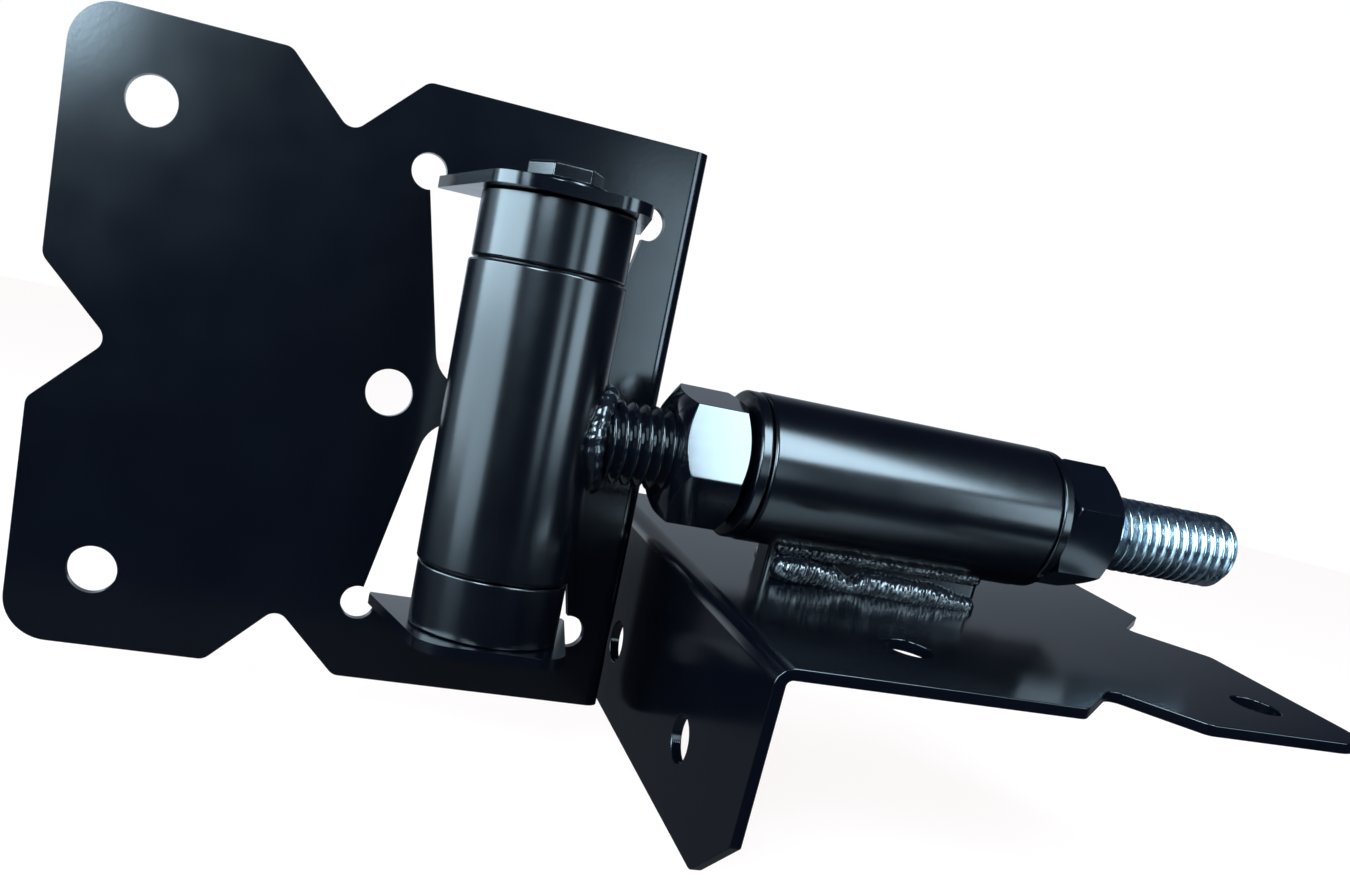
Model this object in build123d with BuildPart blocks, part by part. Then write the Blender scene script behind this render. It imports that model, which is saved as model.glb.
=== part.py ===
from build123d import *
import math
import os

# Adjustable gate hinge with two bolt-on leaves.
# Millimetres. X runs along the stud towards the gate, Y towards the post, Z up.
# The origin is the middle of the post leaf's middle bolt hole, on the leaf's back face.
# The gate leaf is swivelled about the stud to the pose in which the hinge is shown.

os.makedirs("parts", exist_ok=True)

# Sheet metal, the same blank for both leaves
leaf_height = 127.0
leaf_reach = 130.0
sheet = 2.3
bend_inside = 1.2
corner_round = 9.0
small_round = 3.0

# Notches of the leaf's outline, measured from the bend's outer face
side_notch_near = 62.0
side_notch_middle = 75.8
side_notch_far = 89.4
side_notch_depth = 13.4
end_notch_half_width = 14.1
end_notch_depth = 14.0

# Bolt holes
bolt_hole_d = 10.0
outer_hole_from_end = 16.2
outer_hole_from_side = 16.3
middle_hole_from_bend = 59.8
gate_inner_hole_from_bend = 35.6
gate_inner_hole_from_side = 21.5

# Turned-back edges at the bends
post_lip_depth = 14.0
post_lip_round = 4.0
gate_flange_depth = 47.5
gate_flange_straight = 34.5
gate_flange_end_half_width = 49.0
gate_flange_round = 3.0
flange_hole_half_spacing = 28.0
flange_hole_depth = 30.0

# Where the pivot and the stud stand
axis_height = 22.3
barrel_from_bend = 35.0
leaf_gap = 4.2
swivel_from_level_deg = 5.2

# Ears lanced out of the post leaf
ear_inner_face = 43.4
ear_root_half_width = 22.6
ear_front_half_width = 14.4
ear_reach = 40.0
ear_corner_round = 8.0
relief_hole_d = 7.4
relief_from_root_end = 1.5
relief_below_bend_line = 0.5
lancing_gap = 0.7
window_root_half_width = 24.2

# Pivot
pin_d = 12.7
pin_flange_d = 18.6
pin_flange_thick = 1.9
pin_hex_across_flats = 13.4
pin_hex_height = 3.0
pin_hex_chamfer = 0.5
pin_tail_d = 15.4
pin_tail_height = 1.5
barrel_d = 31.75
barrel_bore_d = 25.4
barrel_half_length = 30.1
barrel_edge_round = 0.6
collar_d = 30.9
collar_gap = 0.4
collar_edge_round = 0.5
pivot_bush_length = 18.0
pivot_bush_flange_d = 28.4
pivot_bush_flange_thick = 2.0
running_gap = 0.05
end_float = 0.1

# Threaded stud
stud_d = 17.3
stud_tip_from_barrel = 172.7
stud_tip_chamfer = 1.5
stud_weld_leg = 3.0
thread_to_nut_gap = 0.06

# Nuts on the stud
nut_across_flats = 26.0
nut_height = 15.8
nut_face_d = 22.4
nut_chamfer_deg = 33.0
inner_nut_flat_deg = 72.0
outer_nut_flat_deg = 41.0

# Sleeve that carries the gate leaf
sleeve_d = 31.75
sleeve_bore_d = 25.0
sleeve_length = 68.4
sleeve_from_barrel = 49.4
sleeve_edge_round = 0.8
sleeve_bush_length = 16.0
sleeve_bush_flange_d = 31.4
sleeve_bush_flange_thick = 2.6
sleeve_bush_flange_gap = 0.4
sleeve_bush_edge_round = 0.5

# Bar and welds between the sleeve and the gate leaf
saddle_width = 9.0
saddle_from_near_mouth = 8.8
saddle_from_far_mouth = 7.6
saddle_end_round = 2.0
leaf_bead_leg = 4.2
bead_inset = 0.6
sleeve_bead_r = 2.2

# Places worked out from the sizes above
bend_outside = bend_inside + sheet
outer_hole_from_bend = leaf_reach - outer_hole_from_end
outer_hole_half_spacing = leaf_height / 2 - outer_hole_from_side
gate_inner_hole_half_spacing = leaf_height / 2 - gate_inner_hole_from_side
post_bend_x = middle_hole_from_bend
barrel_x = post_bend_x - barrel_from_bend
axis_y = -(axis_height + sheet)
ear_outer_face = ear_inner_face + sheet
gate_bend_x = post_bend_x + leaf_gap
sleeve_near_x = barrel_x + sleeve_from_barrel
sleeve_far_x = sleeve_near_x + sleeve_length
saddle_near_x = sleeve_near_x + saddle_from_near_mouth
saddle_length = sleeve_far_x - saddle_from_far_mouth - saddle_near_x
saddle_from_gate_bend = saddle_near_x - gate_bend_x
flange_stack = sleeve_bush_flange_gap + sleeve_bush_flange_thick
inner_nut_x = sleeve_near_x - flange_stack - nut_height
outer_nut_x = sleeve_far_x + flange_stack
tilt = math.radians(swivel_from_level_deg)
gate_up = (0, -math.sin(tilt), math.cos(tilt))

# Leaf planes: local X runs away from the bend, local Z is the front face's normal
post_face = Plane(origin=(post_bend_x, -sheet, 0), x_dir=(-1, 0, 0), z_dir=(0, -1, 0))
gate_axis = Plane(origin=(gate_bend_x, axis_y, 0), x_dir=(1, 0, 0), z_dir=gate_up)
gate_face = gate_axis.offset(-axis_height)


def leaf_outline(plane):
    """The outline that both leaves are cut to, without holes."""
    half = leaf_height / 2
    notch_top = half - side_notch_depth
    tip_x = leaf_reach - end_notch_depth
    upper = [
        (side_notch_near, half),
        (side_notch_middle, notch_top),
        (side_notch_far, half),
        (leaf_reach, half),
        (leaf_reach, end_notch_half_width),
    ]
    lower = [(x, -y) for x, y in reversed(upper)]
    with BuildSketch(plane) as outline:
        with BuildLine():
            Polyline([(0, half), *upper, (tip_x, 0), *lower, (0, -half)], close=True)
        make_face()
        corners = [(leaf_reach, half), (leaf_reach, -half)]
        notches = [point for point in upper + lower if point not in corners] + [(tip_x, 0)]
        for points, radius in ((corners, corner_round), (notches, small_round)):
            chosen = [outline.vertices().sort_by_distance(Vector(x, y))[0] for x, y in points]
            fillet(chosen, radius)
    return outline.sketch


def flange_outline(plane, straight, depth, end_half_width, end_round):
    """The flat outline of a leaf's turned-back edge, whose local Y runs away from the front face."""
    half = leaf_height / 2
    with BuildSketch(plane) as outline:
        with BuildLine():
            Polyline(
                [
                    (-half, 0), (-half, straight), (-end_half_width, depth),
                    (end_half_width, depth), (half, straight), (half, 0),
                ],
                close=True,
            )
        make_face()
        fillet(outline.vertices().filter_by(lambda v: abs(v.Y - depth) < 0.01), end_round)
    return outline.sketch


def local_edge(builder, plane, x, z):
    """The edge of a leaf that runs along its height at one local place."""
    middle = plane.from_local_coords(Vector(x, 0, z))
    along = Axis(middle, plane.y_dir)
    return builder.edges().filter_by(along).sort_by(lambda edge: (edge.center() - middle).length)[0]


def tube(x_from, length, outer_d, bore_d, edge_round):
    """A plain tube about the stud's axis with eased outer edges."""
    with BuildPart() as made:
        with BuildSketch(Plane.YZ.offset(x_from)):
            with Locations((axis_y, 0)):
                Circle(outer_d / 2)
                Circle(bore_d / 2, mode=Mode.SUBTRACT)
        extrude(amount=length)
        rims = made.edges().filter_by(GeomType.CIRCLE)
        outer = [edge for edge in rims if abs(edge.radius - outer_d / 2) < 0.01]
        fillet(outer, edge_round)
    return made


def hex_nut(x_from, flat_deg):
    """A hexagon nut on the stud, with one flat's normal turned from +Z towards the front."""
    flat = math.radians(flat_deg)
    cone = (nut_across_flats / math.cos(math.radians(30)) - nut_face_d) / 2
    cone_length = cone * math.tan(math.radians(nut_chamfer_deg))
    corner_r = nut_face_d / 2 + cone
    nut_plane = Plane(
        origin=(x_from, axis_y, 0), x_dir=(0, -math.sin(flat), math.cos(flat)), z_dir=(1, 0, 0)
    )
    with BuildPart() as made:
        with BuildSketch(nut_plane):
            RegularPolygon(nut_across_flats / 2, 6, major_radius=False, rotation=30)
            Circle(stud_d / 2 + thread_to_nut_gap, mode=Mode.SUBTRACT)
        extrude(amount=nut_height)
        with BuildSketch(Plane(origin=(x_from, axis_y, 0), x_dir=(1, 0, 0), z_dir=(0, -1, 0))):
            with BuildLine():
                Polyline(
                    [
                        (0, 0), (0, nut_face_d / 2), (cone_length, corner_r),
                        (nut_height - cone_length, corner_r), (nut_height, nut_face_d / 2),
                        (nut_height, 0),
                    ],
                    close=True,
                )
            make_face()
        revolve(axis=Axis((0, axis_y, 0), (1, 0, 0)), mode=Mode.INTERSECT)
    return made


# Post leaf: flat plate, lip at the bend, window and the two ears bent out of it
bend_line = ear_outer_face + bend_inside
relief_half_spacing = ear_root_half_width + relief_from_root_end
relief_y = bend_line - relief_below_bend_line
relief_cut = 3 * sheet
blank_length = ear_reach - bend_inside + math.pi / 2 * (bend_inside + sheet / 2)

with BuildPart() as post_leaf:
    extrude(leaf_outline(post_face), amount=-sheet)
    lip_plane = Plane(origin=(post_bend_x, -sheet, 0), x_dir=(0, 0, 1), z_dir=(-1, 0, 0))
    lip_straight = post_lip_depth - post_lip_round
    lip_end = leaf_height / 2 - post_lip_round
    extrude(flange_outline(lip_plane, lip_straight, post_lip_depth, lip_end, post_lip_round), amount=sheet)
    fillet(local_edge(post_leaf, post_face, 0, 0), bend_outside)
    fillet(local_edge(post_leaf, post_face, sheet, -sheet), bend_inside)
    # One window half for each ear, as long as the ear's flat blank and wider at its bend
    for side in (1, -1):
        window_end = side * (bend_line - blank_length - lancing_gap)
        with BuildSketch(post_face) as window:
            with BuildLine():
                Polyline(
                    [
                        (barrel_from_bend - window_root_half_width, side * bend_line),
                        (barrel_from_bend + window_root_half_width, side * bend_line),
                        (barrel_from_bend + ear_front_half_width + lancing_gap, window_end),
                        (barrel_from_bend - ear_front_half_width - lancing_gap, window_end),
                    ],
                    close=True,
                )
            make_face()
            tips = window.vertices().filter_by(lambda v: abs(v.Y) < bend_line - 1)
            fillet(tips, ear_corner_round)
        extrude(amount=-sheet, mode=Mode.SUBTRACT)
    # Each ear: its section of bend and flat, trimmed to its plan
    ear_plane = Plane(
        origin=(barrel_x - ear_root_half_width, -sheet, 0), x_dir=(0, -1, 0), z_dir=(1, 0, 0)
    )
    for side in (1, -1):
        with BuildSketch(ear_plane, mode=Mode.PRIVATE) as section:
            with BuildLine():
                inner_start = (0, -side * bend_line)
                inner_end = (bend_inside, -side * ear_outer_face)
                outer_start = (bend_inside, -side * ear_inner_face)
                outer_end = (-sheet, -side * bend_line)
                slant = math.sqrt(0.5)
                inner_middle = (bend_inside * (1 - slant), -side * (bend_line - bend_inside * slant))
                outer_middle = (
                    bend_inside - bend_outside * slant, -side * (bend_line - bend_outside * slant)
                )
                ThreePointArc(inner_start, inner_middle, inner_end)
                Line(inner_end, (ear_reach, -side * ear_outer_face))
                Line((ear_reach, -side * ear_outer_face), (ear_reach, -side * ear_inner_face))
                Line((ear_reach, -side * ear_inner_face), outer_start)
                ThreePointArc(outer_start, outer_middle, outer_end)
                Line(outer_end, inner_start)
            make_face()
        ear_plan_plane = Plane(
            origin=(barrel_x, -sheet, side * ear_inner_face), x_dir=(1, 0, 0), z_dir=(0, 0, side)
        )
        with BuildSketch(ear_plan_plane, mode=Mode.PRIVATE) as plan:
            with BuildLine():
                forward = -side
                Polyline(
                    [
                        (-ear_root_half_width, -forward * sheet),
                        (ear_root_half_width, -forward * sheet),
                        (ear_root_half_width, 0),
                        (ear_front_half_width, forward * ear_reach),
                        (-ear_front_half_width, forward * ear_reach),
                        (-ear_root_half_width, 0),
                    ],
                    close=True,
                )
            make_face()
            fronts = plan.vertices().filter_by(lambda v: abs(v.Y - forward * ear_reach) < 0.01)
            fillet(fronts, ear_corner_round)
        ear_body = extrude(section.sketch, amount=2 * ear_root_half_width, mode=Mode.PRIVATE)
        ear_cut = extrude(
            plan.sketch, amount=bend_outside + sheet, both=True, mode=Mode.PRIVATE
        )
        add(ear_body & ear_cut)
    with Locations(post_face.location):
        with Locations(*[
            (barrel_from_bend + step * relief_half_spacing, side * relief_y, -sheet / 2)
            for step in (-1, 1) for side in (-1, 1)
        ]):
            Cylinder(relief_hole_d / 2, relief_cut, mode=Mode.SUBTRACT)
        with Locations((outer_hole_from_bend, outer_hole_half_spacing, 0),
                       (outer_hole_from_bend, -outer_hole_half_spacing, 0),
                       (middle_hole_from_bend, 0, 0)):
            Hole(bolt_hole_d / 2, depth=sheet)
    with Locations(Location((barrel_x, axis_y, 0))):
        Hole(pin_d / 2 + running_gap, depth=leaf_height)

# Pivot pin: flanged hexagon head on the upper ear, tail peened under the lower ear
with BuildPart() as pivot_pin:
    with BuildSketch(Plane.XY.offset(-ear_outer_face)):
        with Locations((barrel_x, axis_y)):
            Circle(pin_d / 2)
    extrude(amount=2 * ear_outer_face)
    with BuildSketch(Plane.XY.offset(ear_outer_face)):
        with Locations((barrel_x, axis_y)):
            Circle(pin_flange_d / 2)
    extrude(amount=pin_flange_thick)
    fillet(pivot_pin.edges().group_by(Axis.Z)[-1], pin_flange_thick / 2)
    with BuildSketch(Plane.XY.offset(ear_outer_face + pin_flange_thick)):
        with Locations((barrel_x, axis_y)):
            RegularPolygon(pin_hex_across_flats / 2, 6, major_radius=False)
    extrude(amount=pin_hex_height)
    chamfer(pivot_pin.edges().group_by(Axis.Z)[-1], pin_hex_chamfer)
    with BuildSketch(Plane.XY.offset(-ear_outer_face)):
        with Locations((barrel_x, axis_y)):
            Circle(pin_tail_d / 2)
    extrude(amount=-pin_tail_height)
    fillet(pivot_pin.edges().group_by(Axis.Z)[0], pin_tail_height / 2)

# Collars: fixed spacers between the barrel and the ears
collar_start = barrel_half_length + collar_gap
collar_length = ear_inner_face - collar_start


def collar(bottom):
    """A fixed spacer tube about the pin."""
    with BuildPart() as made:
        with BuildSketch(Plane.XY.offset(bottom)):
            with Locations((barrel_x, axis_y)):
                Circle(collar_d / 2)
                Circle(pin_d / 2 + running_gap, mode=Mode.SUBTRACT)
        extrude(amount=collar_length)
        rims = made.edges().filter_by(GeomType.CIRCLE)
        fillet([edge for edge in rims if edge.radius > pin_d], collar_edge_round)
    return made


upper_collar = collar(collar_start)
lower_collar = collar(-ear_inner_face)

# Barrel that turns on the pin, with a seat for a flanged bush at each end
flange_proud = collar_gap - end_float
seat_depth = pivot_bush_flange_thick - flange_proud
with BuildPart() as pivot_barrel:
    with BuildSketch(Plane.XY.offset(-barrel_half_length)):
        with Locations((barrel_x, axis_y)):
            Circle(barrel_d / 2)
            Circle(barrel_bore_d / 2, mode=Mode.SUBTRACT)
    extrude(amount=2 * barrel_half_length)
    rims = pivot_barrel.edges().filter_by(GeomType.CIRCLE)
    fillet([edge for edge in rims if abs(edge.radius - barrel_d / 2) < 0.01], barrel_edge_round)
    for end, into in ((barrel_half_length, -1), (-barrel_half_length, 1)):
        with BuildSketch(Plane.XY.offset(end)):
            with Locations((barrel_x, axis_y)):
                Circle(pivot_bush_flange_d / 2)
        extrude(amount=into * seat_depth, mode=Mode.SUBTRACT)


def pivot_bush(side):
    """A flanged bush in one end of the barrel, its flange standing just proud."""
    inner_end = barrel_half_length - pivot_bush_length
    with BuildPart() as made:
        with BuildSketch(Plane.XY.offset(side * inner_end)):
            with Locations((barrel_x, axis_y)):
                Circle(barrel_bore_d / 2)
        extrude(amount=side * (pivot_bush_length - seat_depth))
        with BuildSketch(Plane.XY.offset(side * (barrel_half_length - seat_depth))):
            with Locations((barrel_x, axis_y)):
                Circle(pivot_bush_flange_d / 2)
        extrude(amount=side * pivot_bush_flange_thick)
        with Locations((barrel_x, axis_y, 0)):
            Cylinder(pin_d / 2 + running_gap, 3 * barrel_half_length, mode=Mode.SUBTRACT)
    return made


upper_bush = pivot_bush(1)
lower_bush = pivot_bush(-1)

# Threaded stud, coped to the barrel's side, with its weld
with BuildPart() as threaded_stud:
    with BuildSketch(Plane.YZ.offset(barrel_x)):
        with Locations((axis_y, 0)):
            Circle(stud_d / 2)
    extrude(amount=stud_tip_from_barrel)
    chamfer(threaded_stud.edges().group_by(Axis.X)[-1], stud_tip_chamfer)
    with Locations((barrel_x, axis_y, 0)):
        Cylinder(barrel_d / 2, leaf_height, mode=Mode.SUBTRACT)

# Fillet weld round the seam between the stud and the barrel
with BuildPart() as stud_weld:
    with Locations((barrel_x, axis_y, 0)):
        Cylinder(barrel_d / 2, 2 * barrel_half_length)
    with BuildSketch(Plane.YZ.offset(barrel_x)):
        with Locations((axis_y, 0)):
            Circle(stud_d / 2)
    extrude(amount=barrel_d)
    seam_point = Vector(barrel_x + barrel_d / 2, axis_y, stud_d / 2)
    chamfer(stud_weld.edges().sort_by_distance(seam_point)[0], stud_weld_leg)
    with Locations((barrel_x, axis_y, 0)):
        Cylinder(barrel_d / 2, 2 * barrel_half_length, mode=Mode.SUBTRACT)
    with BuildSketch(Plane.YZ.offset(barrel_x)):
        with Locations((axis_y, 0)):
            Circle(stud_d / 2)
    extrude(amount=barrel_d, mode=Mode.SUBTRACT)

# Nuts that hold the sleeve along the stud
inner_nut = hex_nut(inner_nut_x, inner_nut_flat_deg)
outer_nut = hex_nut(outer_nut_x, outer_nut_flat_deg)

# Sleeve and its two flanged bushes
adjuster_sleeve = tube(sleeve_near_x, sleeve_length, sleeve_d, sleeve_bore_d, sleeve_edge_round)


def sleeve_bush(mouth_x, into):
    """A flanged bush at one mouth of the sleeve, which turns on it, close on the stud's crests."""
    with BuildPart() as made:
        with BuildSketch(Plane.YZ.offset(mouth_x - into * sleeve_bush_flange_gap)):
            with Locations((axis_y, 0)):
                Circle(sleeve_bush_flange_d / 2)
        extrude(amount=-into * sleeve_bush_flange_thick)
        fillet(made.edges().filter_by(GeomType.CIRCLE), sleeve_bush_edge_round)
        with BuildSketch(Plane.YZ.offset(mouth_x - into * sleeve_bush_flange_gap)):
            with Locations((axis_y, 0)):
                Circle(sleeve_bore_d / 2 - running_gap)
        extrude(amount=into * (sleeve_bush_length + sleeve_bush_flange_gap))
        with BuildSketch(Plane.YZ.offset(mouth_x - into * sleeve_bush_length)):
            with Locations((axis_y, 0)):
                Circle(stud_d / 2 + running_gap)
        extrude(amount=into * 3 * sleeve_bush_length, mode=Mode.SUBTRACT)
    return made


inner_sleeve_bush = sleeve_bush(sleeve_near_x, 1)
outer_sleeve_bush = sleeve_bush(sleeve_far_x, -1)

# Gate leaf: plate, wide flange behind the bend and its bolt holes
with BuildPart() as gate_leaf:
    extrude(leaf_outline(gate_face), amount=-sheet)
    flange_plane = Plane(origin=gate_face.origin, x_dir=-gate_face.y_dir, z_dir=(1, 0, 0))
    extrude(
        flange_outline(flange_plane, gate_flange_straight, gate_flange_depth,
                       gate_flange_end_half_width, gate_flange_round),
        amount=sheet,
    )
    fillet(local_edge(gate_leaf, gate_face, 0, 0), bend_outside)
    fillet(local_edge(gate_leaf, gate_face, sheet, -sheet), bend_inside)
    with Locations(gate_face.location):
        with Locations(*[
            (x, side * half, 0)
            for x, half in ((outer_hole_from_bend, outer_hole_half_spacing),
                            (gate_inner_hole_from_bend, gate_inner_hole_half_spacing))
            for side in (-1, 1)
        ]):
            Hole(bolt_hole_d / 2, depth=sheet)
    with Locations(flange_plane.location):
        with Locations((flange_hole_half_spacing, flange_hole_depth, 0),
                       (-flange_hole_half_spacing, flange_hole_depth, 0)):
            Cylinder(bolt_hole_d / 2, 3 * sheet, mode=Mode.SUBTRACT)

# Saddle bar that carries the sleeve above the gate leaf
with BuildPart() as sleeve_saddle:
    with BuildSketch(gate_face):
        with Locations((saddle_from_gate_bend + saddle_length / 2, 0)):
            RectangleRounded(saddle_length, saddle_width, saddle_end_round)
    extrude(amount=axis_height)
    with BuildSketch(Plane.YZ.offset(sleeve_near_x)):
        with Locations((axis_y, 0)):
            Circle(sleeve_d / 2)
    extrude(amount=sleeve_length, mode=Mode.SUBTRACT)


def bead_plane():
    """The plane across the saddle where its beads start, with local X along the leaf's height."""
    return Plane(
        origin=gate_face.from_local_coords(Vector(saddle_from_gate_bend + bead_inset, 0, 0)),
        x_dir=gate_face.y_dir, z_dir=(1, 0, 0),
    )


bead_length = saddle_length - 2 * bead_inset
bead_wall = saddle_width / 2


def leaf_bead(side):
    """The bead along the saddle's foot on the leaf."""
    wall = side * bead_wall
    with BuildPart() as made:
        with BuildSketch(bead_plane()):
            with BuildLine():
                Polyline([(wall, 0), (wall + side * leaf_bead_leg, 0), (wall, leaf_bead_leg)], close=True)
            make_face()
        extrude(amount=bead_length)
    return made


def sleeve_bead(side):
    """The bead in the corner between the saddle and the sleeve."""
    contact = math.sqrt((sleeve_d / 2) ** 2 - bead_wall ** 2)
    with BuildPart() as made:
        with BuildSketch(bead_plane()):
            with Locations((side * bead_wall, axis_height - contact)):
                Circle(sleeve_bead_r)
            with Locations((0, axis_height / 2)):
                Rectangle(saddle_width, axis_height, mode=Mode.SUBTRACT)
            with Locations((0, axis_height)):
                Circle(sleeve_d / 2, mode=Mode.SUBTRACT)
        extrude(amount=bead_length)
    return made


front_leaf_bead = leaf_bead(-1)
rear_leaf_bead = leaf_bead(1)
front_sleeve_bead = sleeve_bead(-1)
rear_sleeve_bead = sleeve_bead(1)

pieces = {
    "post_leaf": post_leaf,
    "pivot_pin": pivot_pin,
    "upper_collar": upper_collar,
    "lower_collar": lower_collar,
    "pivot_barrel": pivot_barrel,
    "upper_bush": upper_bush,
    "lower_bush": lower_bush,
    "threaded_stud": threaded_stud,
    "stud_weld": stud_weld,
    "inner_nut": inner_nut,
    "inner_sleeve_bush": inner_sleeve_bush,
    "adjuster_sleeve": adjuster_sleeve,
    "outer_sleeve_bush": outer_sleeve_bush,
    "outer_nut": outer_nut,
    "gate_leaf": gate_leaf,
    "sleeve_saddle": sleeve_saddle,
    "front_leaf_bead": front_leaf_bead,
    "rear_leaf_bead": rear_leaf_bead,
    "front_sleeve_bead": front_sleeve_bead,
    "rear_sleeve_bead": rear_sleeve_bead,
}
for name, piece in pieces.items():
    piece.part.label = name
    export_step(piece.part, f"parts/{name}.step")
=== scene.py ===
"""Looks of an adjustable gate hinge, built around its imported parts.

Everything is in metres, in the parts' own frame: X runs along the stud towards the gate,
Y towards the post and Z up.
"""

import logging
import math
from dataclasses import dataclass, field
from enum import Enum

import bmesh
import bpy
from mathutils import Matrix, Vector, noise


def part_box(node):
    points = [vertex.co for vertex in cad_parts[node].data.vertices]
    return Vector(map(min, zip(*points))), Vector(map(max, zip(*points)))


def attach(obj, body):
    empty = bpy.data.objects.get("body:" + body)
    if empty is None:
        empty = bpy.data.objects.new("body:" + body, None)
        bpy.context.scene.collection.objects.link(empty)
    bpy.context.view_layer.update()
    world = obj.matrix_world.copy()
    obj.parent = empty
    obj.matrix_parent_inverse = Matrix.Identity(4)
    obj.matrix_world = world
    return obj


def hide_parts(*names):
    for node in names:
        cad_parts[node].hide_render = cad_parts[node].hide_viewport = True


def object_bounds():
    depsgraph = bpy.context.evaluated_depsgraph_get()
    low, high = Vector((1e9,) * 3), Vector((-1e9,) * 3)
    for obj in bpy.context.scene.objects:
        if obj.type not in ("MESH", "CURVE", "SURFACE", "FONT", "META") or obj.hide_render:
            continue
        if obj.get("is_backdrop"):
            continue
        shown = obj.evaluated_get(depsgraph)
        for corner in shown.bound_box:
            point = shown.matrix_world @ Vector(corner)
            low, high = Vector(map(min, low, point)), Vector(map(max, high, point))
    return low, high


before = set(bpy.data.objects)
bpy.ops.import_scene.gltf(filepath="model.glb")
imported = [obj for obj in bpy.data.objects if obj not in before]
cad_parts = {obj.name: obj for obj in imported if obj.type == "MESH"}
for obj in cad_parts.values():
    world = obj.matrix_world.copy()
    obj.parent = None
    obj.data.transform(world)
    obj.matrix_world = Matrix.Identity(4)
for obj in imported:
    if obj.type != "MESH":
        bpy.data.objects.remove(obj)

logging.basicConfig(level=logging.INFO, format="%(message)s")
log = logging.getLogger("gate_hinge")

MM = 0.001
TEXTURE_DARK, TEXTURE_BRIGHT = 0.3, 0.7


class Body(Enum):
    """The moving bodies that the pieces ride on."""

    POST = "post_side"
    STUD = "stud_arm"
    INNER_NUT = "inner_nut"
    OUTER_NUT = "outer_nut"
    GATE = "gate_side"


class Slot(Enum):
    """Names of the record's finishes."""

    COAT = "powder_coat"
    GLOSS = "gloss_coat"
    WELD = "weld_metal"
    ZINC = "zinc_plate"


class Side(Enum):
    """The two sides of the saddle, seen along the gate leaf's height."""

    FRONT = -1
    REAR = 1


class NodeBench:
    """A small helper that lays out one material's nodes."""

    def __init__(self, name: str) -> None:
        """Starts an empty material.

        Args:
            name: the material's name.
        """
        self.material = bpy.data.materials.new(name)
        self.material.use_nodes = True
        self.tree = self.material.node_tree
        self.tree.nodes.clear()
        self.out = self.tree.nodes.new("ShaderNodeOutputMaterial")
        self.shader = self.tree.nodes.new("ShaderNodeBsdfPrincipled")
        self.join(self.shader, "BSDF", self.out, "Surface")
        self.place = self.tree.nodes.new("ShaderNodeTexCoord")

    def join(self, source: bpy.types.Node, output: str, target: bpy.types.Node, entry: str) -> None:
        """Links one node's output to another's input.

        Args:
            source: the node that gives the value.
            output: its output's name.
            target: the node that takes it.
            entry: its input's name.
        """
        self.tree.links.new(source.outputs[output], target.inputs[entry])

    def set(self, **values: object) -> None:
        """Sets the shader's own sockets.

        Args:
            values: the sockets' values, by name with underscores for spaces.
        """
        for name, value in values.items():
            self.shader.inputs[name.replace("_", " ")].default_value = value

    def noise(self, scale: float, detail: float,
              stretch: tuple[float, float, float] = (1, 1, 1)) -> bpy.types.Node:
        """Adds a noise texture on the piece's own coordinates.

        Args:
            scale: features per metre.
            detail: octaves.
            stretch: how the pattern is squeezed along each axis.

        Returns:
            The noise node.
        """
        mapping = self.tree.nodes.new("ShaderNodeMapping")
        mapping.inputs["Scale"].default_value = stretch
        texture = self.tree.nodes.new("ShaderNodeTexNoise")
        texture.inputs["Scale"].default_value = scale
        texture.inputs["Detail"].default_value = detail
        self.join(self.place, "Object", mapping, "Vector")
        self.join(mapping, "Vector", texture, "Vector")
        return texture

    def spread(self, source: bpy.types.Node, low: float, high: float) -> bpy.types.Node:
        """Maps a texture's middle range onto low and high.

        Args:
            source: the texture.
            low: the value where it is dark.
            high: the value where it is bright.

        Returns:
            The Map Range node.
        """
        node = self.tree.nodes.new("ShaderNodeMapRange")
        node.inputs["From Min"].default_value = TEXTURE_DARK
        node.inputs["From Max"].default_value = TEXTURE_BRIGHT
        node.inputs["To Min"].default_value = low
        node.inputs["To Max"].default_value = high
        self.join(source, "Fac", node, "Value")
        return node

    def tint(self, source: bpy.types.Node, stops: list[tuple[float, tuple]]) -> None:
        """Colours the shader from a texture through a ramp.

        Args:
            source: the texture.
            stops: places and colours along the ramp.
        """
        ramp = self.tree.nodes.new("ShaderNodeValToRGB")
        ramp.color_ramp.elements[0].position, ramp.color_ramp.elements[0].color = stops[0]
        ramp.color_ramp.elements[1].position, ramp.color_ramp.elements[1].color = stops[-1]
        self.join(source, "Fac", ramp, "Fac")
        self.join(ramp, "Color", self.shader, "Base Color")

    def bump(self, source: bpy.types.Node, strength: float, depth: float,
             below: bpy.types.Node | None = None) -> bpy.types.Node:
        """Raises the surface by a texture.

        Args:
            source: the texture.
            strength: how much of it shows.
            depth: its height in metres.
            below: a bump node that this one adds to.

        Returns:
            The bump node.
        """
        node = self.tree.nodes.new("ShaderNodeBump")
        node.inputs["Strength"].default_value = strength
        node.inputs["Distance"].default_value = depth
        self.join(source, "Fac", node, "Height")
        if below:
            self.join(below, "Normal", node, "Normal")
        self.join(node, "Normal", self.shader, "Normal")
        return node


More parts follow.
